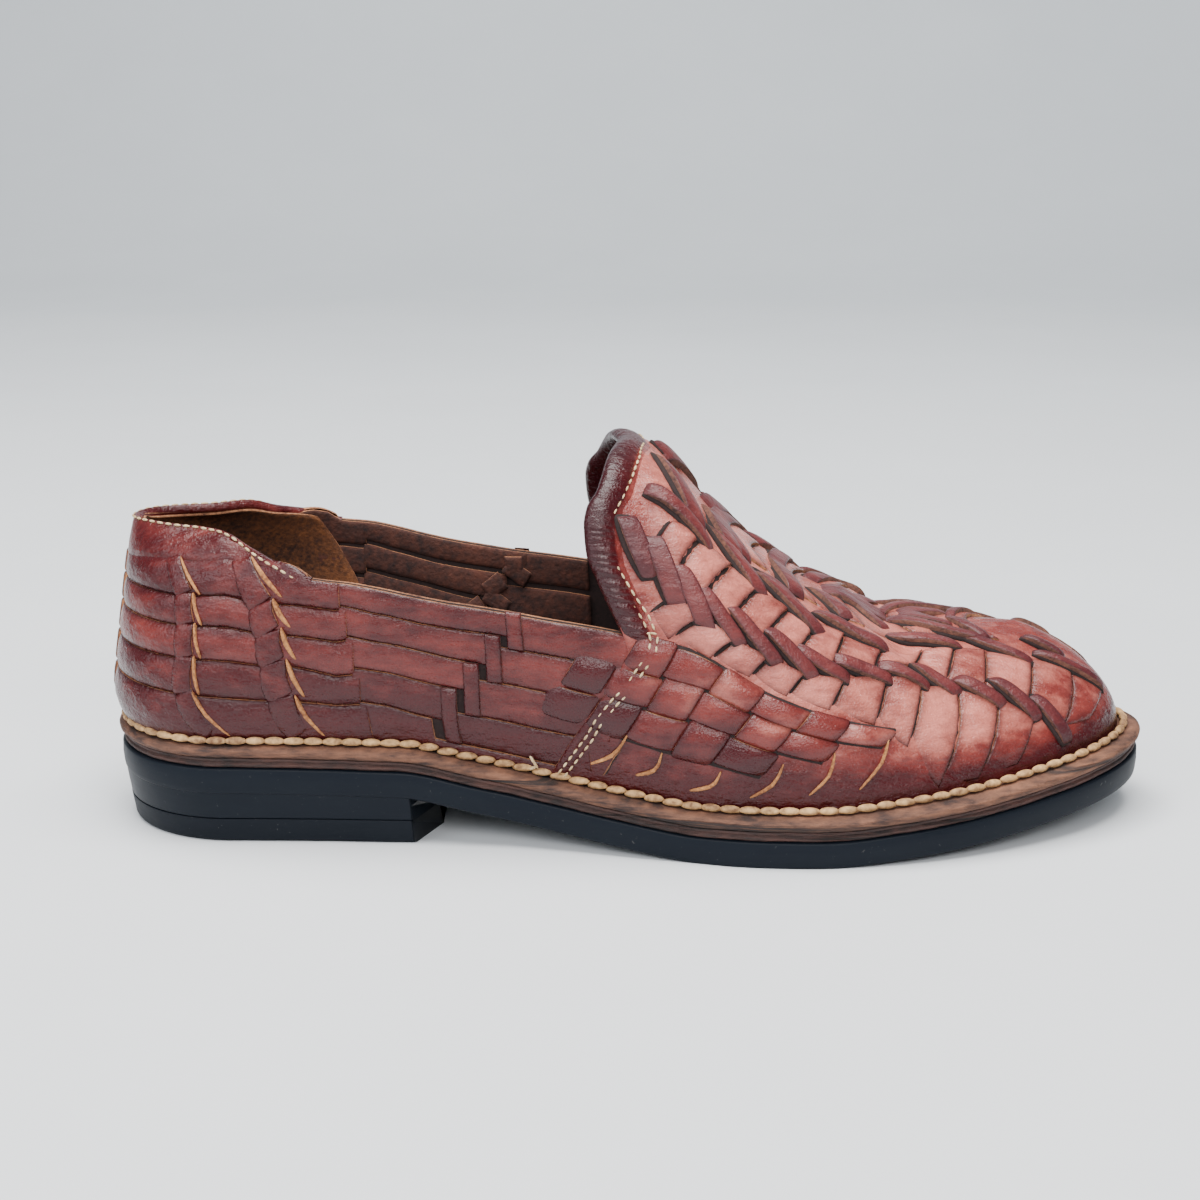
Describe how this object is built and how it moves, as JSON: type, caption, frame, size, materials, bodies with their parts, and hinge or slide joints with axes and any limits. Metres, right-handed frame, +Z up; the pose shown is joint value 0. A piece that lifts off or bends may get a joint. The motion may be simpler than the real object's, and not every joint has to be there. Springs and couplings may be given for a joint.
{
  "type": "woven leather slip-on shoe",
  "caption": "Slip-on shoe with a woven leather upper, stitched welt, low stacked heel and rolled tongue edge; it is worn on the right foot.",
  "frame": {"origin": "on the floor, in the middle of the heel's flat tread", "axes": "+X to the toe, +Y to the inner side of the foot, +Z up"},
  "size_m": [0.3022, 0.1054, 0.1112],
  "materials": {
    "upper_leather": "red-brown aniline leather, burnished, with a soft sheen",
    "insole_leather": "tan flesh-side leather, dull",
    "welt_leather": "tan-brown leather with a fuzzy cut edge",
    "midsole_leather": "dark brown leather edge, waxed",
    "outsole_rubber": "black rubber, satin side",
    "heel_black": "black heel block, satin",
    "top_lift_rubber": "black rubber, matt"
  },
  "bodies": {
    "root": {"upper": "upper_leather", "insole": "insole_leather", "welt": "welt_leather", "midsole": "midsole_leather", "outsole": "outsole_rubber", "heel_stack": "heel_black", "top_lift": "top_lift_rubber"}
  },
  "joints": []
}
